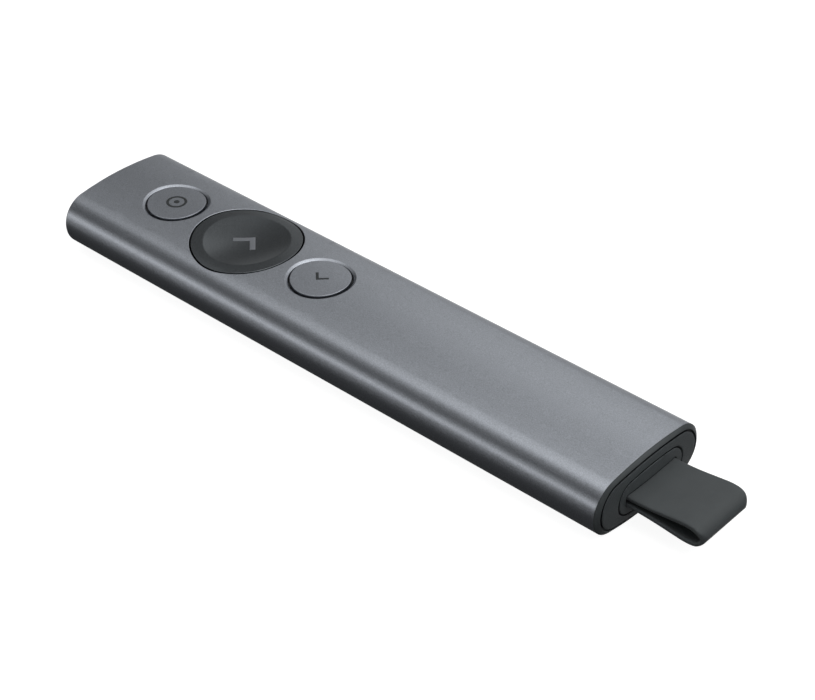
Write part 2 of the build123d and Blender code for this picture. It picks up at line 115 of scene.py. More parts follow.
def oval(size, n_top=44, n_side=30):
    """Closed outline (y, z) of a four-centred oval about z = 0, clockwise seen from +X."""
    a, b, r = size
    big = ((a - r) ** 2 + b * b - r * r) / (2 * (b - r))
    al = math.atan2((a - r) + r * (a - r) / (big - r), r * (big - b) / (big - r) - (b - big))
    pts = []
    for i in range(n_top):
        t = -al + 2 * al * i / n_top
        pts.append((big * math.sin(t), b - big + big * math.cos(t)))
    for i in range(n_side):
        t = al + (pi - 2 * al) * i / n_side
        pts.append((a - r + r * math.sin(t), r * math.cos(t)))
    for i in range(n_top):
        t = pi - al + 2 * al * i / n_top
        pts.append((big * math.sin(t), big - b + big * math.cos(t)))
    for i in range(n_side):
        t = pi + al + (pi - 2 * al) * i / n_side
        pts.append((-(a - r) + r * math.sin(t), r * math.cos(t)))
    return np.array(pts)


def round_box(w, h, r, n_top=44, n_side=30):
    """Closed outline of a rounded rectangle, half sizes w and h, with the oval's count of points."""
    pts = []
    q = n_side // 3

    def side():
        out = []
        for i in range(q):
            t = pi / 2 * i / q
            out.append((w - r + r * math.sin(t), h - r + r * math.cos(t)))
        for i in range(n_side - 2 * q):
            f = i / (n_side - 2 * q)
            out.append((w, (h - r) * (1 - 2 * f)))
        for i in range(q):
            t = pi / 2 + pi / 2 * i / q
            out.append((w - r + r * math.sin(t), -(h - r) + r * math.cos(t)))
        return out
    for i in range(n_top):
        f = i / n_top
        pts.append(((w - r) * (2 * f - 1), h))
    s = side()
    pts += s
    for i in range(n_top):
        f = i / n_top
        pts.append(((w - r) * (1 - 2 * f), -h))
    pts += [(-y, -z) for y, z in s]
    return np.array(pts)


def dome(y, z, end=1):
    """How far the domed ends reach, for y and z measured from the section's centre."""
    return DOMES[end][0] - DOMES[end][1] * ((y / RIM[0]) ** 2 + (z / RIM[1]) ** 2)


# ------------------------------------------------------------------ mesh building
class Build:
    def __init__(self):
        self.v, self.f, self.n = [], [], 0

    def add(self, pts, faces):
        self.v.append(np.asarray(pts, float).reshape(-1, 3))
        self.f += [tuple(self.n + i for i in f) for f in faces]
        self.n += len(self.v[-1])

    def grid(self, p, wrap=False, close=False):
        """A grid of points (rows, columns, 3). wrap joins the last column to the first, close the last row to the first."""
        p = np.asarray(p, float)
        m, n = p.shape[:2]
        faces = []
        for i in range(m if close else m - 1):
            for j in range(n if wrap else n - 1):
                i2, j2 = (i + 1) % m, (j + 1) % n
                faces.append((i * n + j, i * n + j2, i2 * n + j2, i2 * n + j))
        self.add(p, faces)

    def fan(self, ring, centre):
        """Closes a ring with quads towards its middle."""
        ring = np.asarray(ring, float)
        n = len(ring)
        pts = [ring]
        for t in (0.35, 0.7):
            pts.append(ring * (1 - t) + np.asarray(centre, float) * t)
        self.grid(np.array(pts), wrap=True)
        self.add(np.vstack([pts[-1], [centre]]), [(i, (i + 1) % n, n) for i in range(n)])

    def make(self, name, weld=0.0004):
        me = bpy.data.meshes.new(name)
        me.from_pydata((np.vstack(self.v) * 0.001).tolist(), [], self.f)
        bm = bmesh.new()
        bm.from_mesh(me)
        bmesh.ops.remove_doubles(bm, verts=bm.verts, dist=weld * 0.001)
        bmesh.ops.dissolve_degenerate(bm, edges=bm.edges, dist=1e-8)
        bmesh.ops.recalc_face_normals(bm, faces=bm.faces)
        open_edges = sum(1 for e in bm.edges if len(e.link_faces) != 2)
        bm.to_mesh(me)
        bm.free()
        me.update()
        if open_edges:
            print("OPEN", name, open_edges)
        o = bpy.data.objects.new(name, me)
        bpy.context.scene.collection.objects.link(o)
        return o


def smooth(o, angle=32):
    """Smooth shading with sharp edges over an angle, and normals that favour the large faces."""
    me = o.data
    me.polygons.foreach_set("use_smooth", [True] * len(me.polygons))
    me.set_sharp_from_angle(angle=math.radians(angle))
    m = o.modifiers.new("normals", "WEIGHTED_NORMAL")
    m.keep_sharp = True
    m.mode = "FACE_AREA"
    m.weight = 50
    return o


def surface_normals(o, on, vn, angle=40):
    """Custom normals: vn at the vertices marked on, where a whole face lies on that surface, and a smooth
    average over the neighbouring faces within an angle everywhere else."""
    me = o.data
    me.polygons.foreach_set("use_smooth", [True] * len(me.polygons))
    faces = [tuple(p.vertices) for p in me.polygons]
    flat = np.array([all(on[v] for v in f) for f in faces])
    fn = np.array([p.normal for p in me.polygons])
    fa = np.array([p.area for p in me.polygons])
    link = {}
    for k, f in enumerate(faces):
        for v in f:
            link.setdefault(v, []).append(k)
    cosl = math.cos(math.radians(angle))
    normals = []
    for k, f in enumerate(faces):
        for v in f:
            if flat[k]:
                normals.append(tuple(vn[v]))
                continue
            near = [q for q in link[v] if fn[q] @ fn[k] > cosl]
            if any(flat[q] for q in near):
                normals.append(tuple(vn[v]))
                continue
            acc = (fn[near] * fa[near][:, None]).sum(0)
            size = np.linalg.norm(acc)
            normals.append(tuple(acc / size if size > 0 else fn[k]))
    me.normals_split_custom_set(normals)
    return o


def ring3(outline, x, z0=SZ, floor=True):
    """Puts an outline (y, z) at x, a number or one for each point."""
    o = np.asarray(outline, float)
    z = o[:, 1] + z0
    if floor:
        z = np.maximum(z, 0.0)
    return np.stack([np.broadcast_to(x, z.shape), o[:, 0], z], -1)


def place(o, body, material, slot, *nodes):
    o.data.materials.clear()
    o.data.materials.append(material)
    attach(o, body)
    if nodes:
        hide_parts(*nodes)
    return o


# ------------------------------------------------------------------ node materials
def new_material(name):
    m = bpy.data.materials.new(name)
    m.use_nodes = True
    nt = m.node_tree
    bsdf = nt.nodes["Principled BSDF"]
    return m, nt, bsdf


def put(bsdf, **values):
    for k, v in values.items():
        bsdf.inputs[k.replace("_", " ")].default_value = v


def coords(nt, scale=(1, 1, 1), rotation=(0, 0, 0)):
    """Object coordinates in millimetres, times scale."""
    tc = nt.nodes.new("ShaderNodeTexCoord")
    mp = nt.nodes.new("ShaderNodeMapping")
    mp.inputs["Scale"].default_value = [1000 * s for s in scale]
    mp.inputs["Rotation"].default_value = rotation
    nt.links.new(tc.outputs["Object"], mp.inputs["Vector"])
    return mp.outputs["Vector"]


def noise(nt, vec, scale, detail=2.0, rough=0.5):
    n = nt.nodes.new("ShaderNodeTexNoise")
    n.inputs["Scale"].default_value = scale
    n.inputs["Detail"].default_value = detail
    n.inputs["Roughness"].default_value = rough
    nt.links.new(vec, n.inputs["Vector"])
    return n.outputs["Fac"]


def ramp(nt, fac, stops):
    r = nt.nodes.new("ShaderNodeValToRGB")
    e = r.color_ramp.elements
    while len(e) > 1:
        e.remove(e[-1])
    e[0].position, e[0].color = stops[0][0], (*stops[0][1], 1)
    for p, c in stops[1:]:
        k = e.new(p)
        k.color = (*c, 1)
    nt.links.new(fac, r.inputs["Fac"])
    return r.outputs["Color"]


def remap(nt, fac, lo, hi, a=0.3, b=0.7):
    m = nt.nodes.new("ShaderNodeMapRange")
    m.inputs["From Min"].default_value = a
    m.inputs["From Max"].default_value = b
    m.inputs["To Min"].default_value = lo
    m.inputs["To Max"].default_value = hi
    nt.links.new(fac, m.inputs["Value"])
    return m.outputs["Result"]


def maths(nt, op, a, b=None):
    m = nt.nodes.new("ShaderNodeMath")
    m.operation = op
    for i, v in enumerate((a, b)):
        if v is None:
            continue
        if isinstance(v, (int, float)):
            m.inputs[i].default_value = v
        else:
            nt.links.new(v, m.inputs[i])
    return m.outputs[0]


def bump(nt, bsdf, height, strength, distance):
    b = nt.nodes.new("ShaderNodeBump")
    b.inputs["Strength"].default_value = strength
    b.inputs["Distance"].default_value = distance
    nt.links.new(height, b.inputs["Height"])
    nt.links.new(b.outputs["Normal"], bsdf.inputs["Normal"])
    return b


def shade(c, k):
    return tuple(x * k for x in c)


def moulded(name, colour, rough, grain=5.0, depth=0.012, strength=0.35, spread=0.10, spec=0.5, rough_spread=0.05):
    """Moulded plastic: a fine even texture, faint flow variation in colour and roughness."""
    m, nt, b = new_material(name)
    v = coords(nt)
    fine = noise(nt, v, grain, 3.0, 0.6)
    broad = noise(nt, v, 0.35, 2.0)
    mix = maths(nt, "MULTIPLY_ADD", fine, 0.6)
    nt.links.new(maths(nt, "MULTIPLY", broad, 0.4), mix.node.inputs[2])
    col = ramp(nt, mix, [(0.3, shade(colour, 1 - spread)), (0.7, shade(colour, 1 + spread))])
    nt.links.new(col, b.inputs["Base Color"])
    nt.links.new(remap(nt, fine, rough - rough_spread, rough + rough_spread), b.inputs["Roughness"])
    b.inputs["Specular IOR Level"].default_value = spec
    bump(nt, b, fine, strength, depth * 0.001)
    return m


def metal(name, colour, rough, grain=4.0, strength=0.15, depth=0.006, stretch=(1, 1, 1), spread=0.06):
    m, nt, b = new_material(name)
    v = coords(nt, stretch)
    fine = noise(nt, v, grain, 2.0, 0.55)
    nt.links.new(ramp(nt, fine, [(0.3, shade(colour, 1 - spread)), (0.7, shade(colour, 1 + spread))]), b.inputs["Base Color"])
    nt.links.new(remap(nt, fine, rough - 0.03, rough + 0.04), b.inputs["Roughness"])
    b.inputs["Metallic"].default_value = 1.0
    bump(nt, b, fine, strength, depth * 0.001)
    return m


# Bead-blasted, dyed aluminium: a pitted grain about a fifth of a millimetre across.
def anodised(name="anodised_aluminium", base=(0.405, 0.428, 0.466)):
    m, nt, b = new_material(name)
    v = coords(nt)
    fine = noise(nt, v, 5.2, 1.0, 0.6)
    coarse = noise(nt, v, 0.5, 2.0, 0.5)
    mix = maths(nt, "MULTIPLY_ADD", fine, 0.9)
    nt.links.new(maths(nt, "MULTIPLY", coarse, 0.1), mix.node.inputs[2])
    nt.links.new(ramp(nt, mix, [(0.25, shade(base, 0.77)), (0.75, shade(base, 1.23))]), b.inputs["Base Color"])
    nt.links.new(remap(nt, fine, 0.315, 0.385), b.inputs["Roughness"])
    b.inputs["Metallic"].default_value = 1.0
    bump(nt, b, fine, 0.35, 0.000010)
    return m


# Matt plastic with a moulded diamond grid, pitch about a third of a millimetre.
def diamond_plastic(name, colour, rough, pitch=0.36, spec=0.5):
    m, nt, b = new_material(name)
    b.inputs["Specular IOR Level"].default_value = spec
    v = coords(nt)
    fine = noise(nt, v, 6.0, 2.0, 0.6)
    sep = nt.nodes.new("ShaderNodeSeparateXYZ")
    nt.links.new(v, sep.inputs[0])
    k = 2 * pi / pitch
    u = maths(nt, "ADD", sep.outputs["Y"], sep.outputs["Z"])
    w = maths(nt, "SUBTRACT", sep.outputs["Y"], sep.outputs["Z"])
    su = maths(nt, "SINE", maths(nt, "MULTIPLY", u, k * 0.7071))
    sw = maths(nt, "SINE", maths(nt, "MULTIPLY", w, k * 0.7071))
    tc = nt.nodes.new("ShaderNodeTexCoord")             # the grid is moulded on the end faces only
    ns = nt.nodes.new("ShaderNodeSeparateXYZ")
    nt.links.new(tc.outputs["Normal"], ns.inputs[0])
    on_face = remap(nt, maths(nt, "ABSOLUTE", ns.outputs["X"]), 0.0, 1.0, 0.5, 0.8)
    dots = maths(nt, "MULTIPLY", maths(nt, "MULTIPLY", su, sw), on_face)
    h = maths(nt, "MULTIPLY_ADD", dots, 0.5)
    nt.links.new(maths(nt, "MULTIPLY", fine, 0.3), h.node.inputs[2])
    # the colour follows the grid's relief, darker in its dimples and lighter on its ridges: painted shade and
    # highlight
    relief_painted_shade = remap(nt, dots, 0.0, 1.0, -0.6, 0.6)
    nt.links.new(ramp(nt, relief_painted_shade, [(0.0, shade(colour, 0.55)), (1.0, shade(colour, 1.95))]), b.inputs["Base Color"])
    nt.links.new(remap(nt, fine, rough - 0.05, rough + 0.05), b.inputs["Roughness"])
    bump(nt, b, h, 0.6, 0.000035)
    return m


# Moulded silicone rubber: dull, faintly dusty, with a very fine grain.
def rubber(name, colour, rough=0.62, gloss=0.5, sheen=0.10):
    m, nt, b = new_material(name)
    b.inputs["Specular IOR Level"].default_value = gloss
    v = coords(nt)
    fine = noise(nt, v, 7.0, 3.0, 0.65)
    broad = noise(nt, v, 0.28, 2.0, 0.5)
    mix = maths(nt, "MULTIPLY_ADD", fine, 0.65)
    nt.links.new(maths(nt, "MULTIPLY", broad, 0.35), mix.node.inputs[2])
    nt.links.new(ramp(nt, mix, [(0.3, shade(colour, 0.88)), (0.7, shade(colour, 1.12))]), b.inputs["Base Color"])
    nt.links.new(remap(nt, fine, rough - 0.06, rough + 0.08), b.inputs["Roughness"])
    b.inputs["Sheen Weight"].default_value = sheen
    b.inputs["Sheen Roughness"].default_value = 0.5
    bump(nt, b, fine, 0.35, 0.000014)
    return m


def laminate():
    m, nt, b = new_material("board_green")
    v = coords(nt)
    weave = nt.nodes.new("ShaderNodeTexChecker")
    weave.inputs["Scale"].default_value = 2.2
    nt.links.new(v, weave.inputs["Vector"])
    fine = noise(nt, v, 3.0, 3.0)
    mix = maths(nt, "MULTIPLY_ADD", weave.outputs["Fac"], 0.25)
    nt.links.new(maths(nt, "MULTIPLY", fine, 0.75), mix.node.inputs[2])
    nt.links.new(ramp(nt, mix, [(0.2, (0.010, 0.060, 0.028)), (0.8, (0.020, 0.105, 0.050))]), b.inputs["Base Color"])
    nt.links.new(remap(nt, fine, 0.28, 0.40), b.inputs["Roughness"])
    bump(nt, b, mix, 0.2, 0.00001)
    return m


def clear():
    m, nt, b = new_material("clear_pipe")
    v = coords(nt)
    fine = noise(nt, v, 1.5, 2.0)
    nt.links.new(ramp(nt, fine, [(0.3, (0.80, 0.83, 0.86)), (0.7, (0.90, 0.92, 0.94))]), b.inputs["Base Color"])
    nt.links.new(remap(nt, fine, 0.16, 0.26), b.inputs["Roughness"])
    b.inputs["Transmission Weight"].default_value = 0.85
    b.inputs["IOR"].default_value = 1.49
    return m


M = {
    "anodised_sleeve": anodised(),
    "anodised_disc": anodised("anodised_disc", (0.375, 0.397, 0.434)),
    "end_plastic": moulded("end_plastic", (0.062, 0.070, 0.073), 0.55, grain=5.0, depth=0.010, strength=0.3, spec=0.4),
    "face_plastic": diamond_plastic("face_plastic", (0.056, 0.063, 0.066), 0.60, spec=0.3),
    "button_plastic": metal("button_lacquer", (0.132, 0.143, 0.151), 0.205, grain=5.5, strength=0.14, depth=0.004, spread=0.20),
    "light_mark": moulded("light_mark", (0.158, 0.167, 0.184), 0.50, grain=6.0, depth=0.004, spread=0.06),
    "dark_mark": moulded("dark_mark", (0.020, 0.024, 0.025), 0.55, grain=6.0, depth=0.004, spread=0.08),
    "strap_rubber": rubber("strap_rubber", (0.054, 0.062, 0.065)),
    # painted shade: near black, for beads that stand in gaps where only shadow falls
    "painted_shade_black": rubber("painted_shade_black", (0.006, 0.007, 0.008), 0.70, gloss=0.12, sheen=0.0),
    "chassis_plastic": moulded("chassis_plastic", (0.022, 0.023, 0.025), 0.55, depth=0.02),
    "carrier_plastic": moulded("carrier_plastic", (0.080, 0.082, 0.085), 0.48, grain=3.0, depth=0.01),
    "spring_steel": metal("spring_steel", (0.60, 0.60, 0.58), 0.28, stretch=(0.3, 4, 1)),
    "nickel_shell": metal("nickel_shell", (0.66, 0.64, 0.60), 0.26, grain=3.0, stretch=(0.25, 3, 3)),
    "screw_steel": metal("screw_steel", (0.42, 0.42, 0.43), 0.34),
    "board_laminate": laminate(),
    "chip_epoxy": moulded("chip_epoxy", (0.018, 0.018, 0.019), 0.46, grain=6.0, depth=0.01),
    "gold_contact": metal("gold_contact", (0.86, 0.62, 0.26), 0.24, stretch=(0.3, 3, 3)),
    "battery_foil": metal("battery_foil", (0.58, 0.59, 0.61), 0.32, grain=1.2, strength=0.4, depth=0.03),
    "tape_film": moulded("tape_film", (0.55, 0.42, 0.12), 0.38, grain=2.0, depth=0.01),
    "lead_jacket": moulded("lead_jacket", (0.30, 0.02, 0.018), 0.40, grain=3.0, depth=0.01),
    "clear_pipe": clear(),
    "led_body": moulded("led_body", (0.78, 0.76, 0.62), 0.36, grain=2.0, depth=0.005),
    "tongue_plastic": moulded("tongue_plastic", (0.030, 0.030, 0.032), 0.50, grain=4.0, depth=0.01),
    "copper_winding": metal("copper_winding", (0.66, 0.27, 0.13), 0.30, grain=2.0, stretch=(1, 6, 6), strength=0.5, depth=0.05),
    "heavy_alloy": metal("heavy_alloy", (0.36, 0.35, 0.34), 0.42, grain=4.0),
    "ceramic": moulded("ceramic", (0.62, 0.55, 0.42), 0.50, grain=4.0, depth=0.01),
}

record_slot = {p["node"]: p["material_slot"] for p in frame["record"]["subparts"]}
for name, o in NODES.items():
    slot = record_slot.get(name)
    if slot is None:
        print("NO SLOT", name)
        slot = "chassis_plastic"
    o.data.materials.clear()
    o.data.materials.append(M[slot])

# ------------------------------------------------------------------ sleeve
PHI0 = math.asin((11.80 - (A - R)) / R)
phi_top = np.concatenate([np.linspace(-PHI0, -ALPHA, 9), np.linspace(-ALPHA, ALPHA, 21)[1:], np.linspace(ALPHA, PHI0, 9)[1:]])
phi_rest = np.concatenate([np.linspace(PHI0, pi - ALPHA, 33), np.linspace(pi - ALPHA, pi + ALPHA, 13)[1:],
                           np.linspace(pi + ALPHA, 2 * pi - PHI0, 33)[1:]])


def levels(phis, off):
    p = np.array([section_point(f, off) for f in phis])
    p[:, 1] = np.maximum(p[:, 1], 0.0)
    return p


def sleeve():
    b = Build()
    x0, x1 = FRONT + FRONT_EDGE, TAIL - 0.08
    cells = [("plain", x0, PX - 7.31, 6, None), ("hole", PX - 7.31, PX + 7.31, 36, (PX, SMALL_BORE, CH_W, CH_D)),
             ("hole", PX + 7.31, NX + 11.71, 36, (NX, BIG_BORE, 0.08, 0.07)),
             ("hole", NX + 11.71, BX + 7.31, 36, (BX, SMALL_BORE, CH_W, CH_D)), ("plain", BX + 7.31, x1, 30, None)]
    xs = [x0]
    for kind, a0, a1, n, hole in cells:
        xs += list(np.linspace(a0, a1, n + 1)[1:])
    xs = np.array(xs)
    for off in (0.0, WALL):
        yl = levels(phi_top, off)[:, 0]
        for kind, a0, a1, n, hole in cells:
            gx = np.linspace(a0, a1, n + 1)
            if off and kind == "plain":
                gx = gx.copy()
            if kind == "plain":
                X, Y = np.meshgrid(gx, yl)
                b.grid(np.stack([X, Y, skin(Y, off)], -1))
                continue
            cx, bore, cw, cd = hole
            rr = bore + cw + 0.03 if off == 0 else bore
            m = len(yl) - 1
            rect = [(x, yl[0]) for x in gx[:-1]] + [(gx[-1], y) for y in yl[:-1]] + \
                   [(x, yl[-1]) for x in gx[:0:-1]] + [(gx[0], y) for y in yl[:0:-1]]
            rect = np.array(rect)
            ang = [-0.75 * pi + 0.5 * pi * i / n for i in range(n)] + [-0.25 * pi + 0.5 * pi * i / m for i in range(m)] + \
                  [0.25 * pi + 0.5 * pi * i / n for i in range(n)] + [0.75 * pi + 0.5 * pi * i / m for i in range(m)]
            ang = np.array(ang)
            c, s = np.cos(ang), np.sin(ang)
            circ = np.stack([cx + rr * c, rr * s], -1)
            rows = []
            for t in (1.0, 0.78, 0.55, 0.35, 0.18, 0.06, 0.0):
                p = circ * (1 - t) + rect * t
                rows.append(np.stack([p[:, 0], p[:, 1], skin(p[:, 1], off)], -1))
            if off == 0:
                def ring(r, drop):
                    return np.stack([cx + r * c, r * s, skin(r * s) - drop], -1)
                slope = cd / cw
                ro = bore + cw
                e = min(0.03, cw * 0.2)
                rows.append(ring(ro - e, slope * e + 0.002))
                if cw > 0.3:
                    for f in (0.33, 0.66):
                        rows.append(ring(ro - f * cw, slope * f * cw))
                rows.append(ring(bore + e, slope * (cw - e)))
                rows.append(ring(bore, cd + e))
                last = ring(bore, 0)
                low = skin(bore * s, WALL)
                for f in (0.3, 0.65, 1.0):
                    z = (last[:, 2] - cd - e) * (1 - f) + low * f
                    rows.append(np.stack([last[:, 0], last[:, 1], z], -1))
            b.grid(np.array(rows), wrap=True)
        pr = levels(phi_rest, off)
        b.grid(np.stack([np.broadcast_to(xs[:, None], (len(xs), len(pr))), np.broadcast_to(pr[:, 0], (len(xs), len(pr))),
                         np.broadcast_to(pr[:, 1], (len(xs), len(pr)))], -1))
    phis = np.concatenate([phi_top, phi_rest[1:-1]])
    for xe, xt in ((x0, FRONT), (x1, TAIL)):
        k = xt - xe
        rows = [(xe, 0.0), (xe + k * 0.38, 0.076 * abs(k)), (xe + k * 0.71, 0.29 * abs(k)), (xe + k * 0.92, 0.62 * abs(k)),
                (xt, abs(k)), (xt, 0.6), (xt, WALL - 0.05), (xe, WALL)]
        g = []
        for x, off in rows:
            p = levels(phis, off)
            g.append(np.stack([np.full(len(p), x), p[:, 0], p[:, 1]], -1))
        b.grid(np.array(g), wrap=True)
    o = b.make("sleeve_shell")
    co = np.array([v.co for v in o.data.vertices]) * 1000
    y, z = co[:, 1], co[:, 2] - SZ
    edge = BIGR * math.sin(ALPHA)
    flat = np.abs(y) <= edge
    cy = np.where(flat, 0.0, np.sign(y) * (A - R))
    cz = np.where(flat, np.where(z > 0, B - BIGR, BIGR - B), 0.0)
    r = np.hypot(y - cy, z - cz)
    vn = np.stack([np.zeros_like(y), (y - cy) / r, (z - cz) / r], -1)
    surface_normals(o, np.abs(r - np.where(flat, BIGR, R)) < 0.003, vn)
    return place(o, "handset", M["anodised_sleeve"], "anodised_sleeve", "body_sleeve")


sleeve()


def snap_dome(button, x):
    """The thin steel dome in a push switch, built in its rest shape only; the real one goes flat as its button is
    pressed.
    """
    b = Build()
    a = np.arange(48) * 2 * pi / 48
    rings = [(r, 1.34 + math.sqrt(3.86 ** 2 - r * r)) for r in (0.25, 0.6, 1.0, 1.35, 1.65, 1.89)]
    rings += [(r, 1.34 + math.sqrt(3.77 ** 2 - r * r)) for r in (1.709, 1.5, 1.2, 0.8, 0.4, 0.2)]
    rows = [np.stack([x + r * np.cos(a), r * np.sin(a), np.full(48, z)], -1) for r, z in rings]
    b.grid(np.array(rows), wrap=True)
    b.fan(rows[0], (x, 0, 5.20))
    b.fan(rows[-1], (x, 0, 5.11))
    o = place(smooth(b.make(button + "_snap_dome"), 40), "handset", M["spring_steel"], "spring_steel", button + "_switch_dome")
    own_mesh(o)


for button, x in (("pointer", PX), ("next", NX), ("back", BX)):
    snap_dome(button, x)


# ------------------------------------------------------------------ end pieces
def mirror_x(o):
    o.data.transform(Matrix.Diagonal((-1, 1, 1, 1)))
    o.data.flip_normals()


def section_ring(off):
    """The sleeve's section about z = 0, with the oval's count of points."""
    return oval((A - off, B - off, R - off))


def bezel(name, node, inner, spigot_x, sign):
    e = TAIL if sign > 0 else -FRONT
    b = Build()
    rows = []
    inset = 0.0 if sign > 0 else FRONT_EDGE * 0.8
    out, rim = section_ring(inset), oval(RIM)
    xr = dome(rim[:, 0], rim[:, 1], sign)
    rows.append(ring3(section_ring(inset + 0.05), e))
    rows.append(ring3(section_ring(inset + 0.01), e + 0.04))
    low = e + 0.09
    for t in (0.0, 0.04, 0.10, 0.18, 0.28, 0.40, 0.53, 0.67, 0.81, 0.93):     # falls to the sleeve in one soft curve
        rise = 1 - (1 - t) ** 1.32
        rows.append(ring3(out * (1 - t) + rim * t, low + (xr - low) * rise))
    rows.append(ring3(rim, xr - 0.05))
    rows.append(ring3(rim, (xr - 0.05) * 0.5 + (e + 0.25) * 0.5))
    rows.append(ring3(rim, e + 0.25))
    rows.append(ring3(oval(inner), e + 0.25))
    for f in (0.5, 1.0):
        rows.append(ring3(oval(inner), (e + 0.25) * (1 - f) + spigot_x * f))
    rows.append(ring3(section_ring(WALL + 0.03), spigot_x))
    rows.append(ring3(section_ring(WALL + 0.03), e - 0.02))
    rows.append(ring3(section_ring(WALL - 0.1), e))
    b.grid(np.array(rows), wrap=True, close=True)
    o = b.make(name)
    if sign < 0:
        mirror_x(o)
    smooth(o, 35)
    return place(o, "handset", M["end_plastic"], "end_plastic", node)


bezel("tail_ring", "tail_bezel", (9.84, 4.56, 4.16), 56.0, 1)
bezel("front_ring", "front_bezel", (11.8, 3.85, 3.22), 58.0, -1)


def dome_rows(outer, inner, steps, edge_out=0.07, edge_in=0.07, end=1):
    """Rings of a domed plate from its outer outline to its inner one, with broken edges."""
    rows = []
    d_out = dome(outer[:, 0], outer[:, 1], end)
    d_in = dome(inner[:, 0], inner[:, 1], end)
    span = np.linalg.norm(outer - inner, axis=1)[:, None]
    rows.append(ring3(outer, d_out - edge_out, floor=False))
    for k in (0.3, 1.0):
        o = outer + (inner - outer) * np.minimum(edge_out * k / span, 0.2)
        rows.append(ring3(o, dome(o[:, 0], o[:, 1], end) - (edge_out * 0.3 if k < 1 else 0), floor=False))
    for t in steps:
        o = outer * (1 - t) + inner * t
        rows.append(ring3(o, dome(o[:, 0], o[:, 1], end), floor=False))
    for k in (1.0, 0.3):
        o = inner + (outer - inner) * np.minimum(edge_in * k / span, 0.2)
        rows.append(ring3(o, dome(o[:, 0], o[:, 1], end) - (edge_in * 0.3 if k < 1 else 0), floor=False))
    rows.append(ring3(inner, d_in - edge_in, floor=False))
    return rows


def painted_shade_bead(name, body, size, top, low, end=1, wide=0.05):
    """A thin black bead round a plate's edge, set a little under its face: painted shade, a dark piece that blackens
    the gap where only shadow falls.
    """
    b = Build()
    outer, inner = oval([s + wide for s in size]), oval([s - 0.04 for s in size])
    x = dome(outer[:, 0], outer[:, 1], end)
    rows = [ring3(outer, x - top - 0.02), ring3(outer, low), ring3(inner, low), ring3(inner, x - top), ring3(oval([s + wide - 0.02 for s in size]), x - top)]
    b.grid(np.array(rows), wrap=True, close=True)
    o = b.make(name)
    if end < 0:
        mirror_x(o)
    return place(smooth(o, 35), body, M["painted_shade_black"], "end_plastic")


def tail_plate():
    b = Build()
    outer, face_mouth, mouth, well = oval(CAP), oval(TAIL_MOUTH), oval(MOUTH), oval(WELL)
    rows = [ring3(outer, TAIL + 0.25)] + dome_rows(outer, face_mouth, (0.12, 0.3, 0.5, 0.7, 0.88), edge_out=0.08, edge_in=0.06)
    rows += [ring3(face_mouth, 64.30), ring3(mouth, 64.30), ring3(mouth, 63.0), ring3(well, 63.0), ring3(well, TAIL + 0.25)]
    b.grid(np.array(rows), wrap=True, close=True)
    o = smooth(b.make("tail_plate"), 35)
    # painted shade: black beads set just under the caps' edges, in gaps where only shadow falls
    painted_shade_bead("tail_cap_painted_shade", "handset", CAP, 0.10, TAIL + 0.27)
    painted_shade_bead("front_cap_painted_shade", "handset", CAP, 0.10, -FRONT + 0.27, end=-1)
    return place(o, "handset", M["face_plastic"], "end_plastic", "tail_cap")


def front_plate():
    b = Build()
    e = -FRONT
    outer, slot_, plug = oval(CAP), oval((1.5, 0.6, 0.599)), oval((11.76, 3.81, 3.18))
    rows = [ring3(outer, e + 0.25)] + dome_rows(outer, slot_, (0.05, 0.12, 0.25, 0.4, 0.55, 0.7, 0.85, 0.95), edge_in=0.04, end=-1)
    rows += [ring3(slot_, 64.4), ring3(slot_, e - 0.8), ring3(plug, e - 0.8), ring3(plug, e + 0.25)]
    b.grid(np.array(rows), wrap=True, close=True)
    o = b.make("front_plate")
    mirror_x(o)
    smooth(o, 35)
    return place(o, "handset", M["face_plastic"], "end_plastic", "front_cap")


def pipe():
    b = Build()
    s = oval((1.48, 0.58, 0.579))
    k = oval((1.42, 0.52, 0.519))
    rows = [ring3(s, 57.7), ring3(s, 61.0), ring3(s, 65.45), ring3(k, 65.56), ring3(k * 0.6, 65.60)]
    b.grid(np.array(rows), wrap=True)
    b.fan(rows[0], (57.7, 0, SZ))
    b.fan(rows[-1], (65.61, 0, SZ))
    o = b.make("light_window")
    mirror_x(o)
    smooth(o, 35)
    return place(o, "handset", M["clear_pipe"], "clear_pipe", "status_light_pipe")


tail_plate()
front_plate()
pipe()


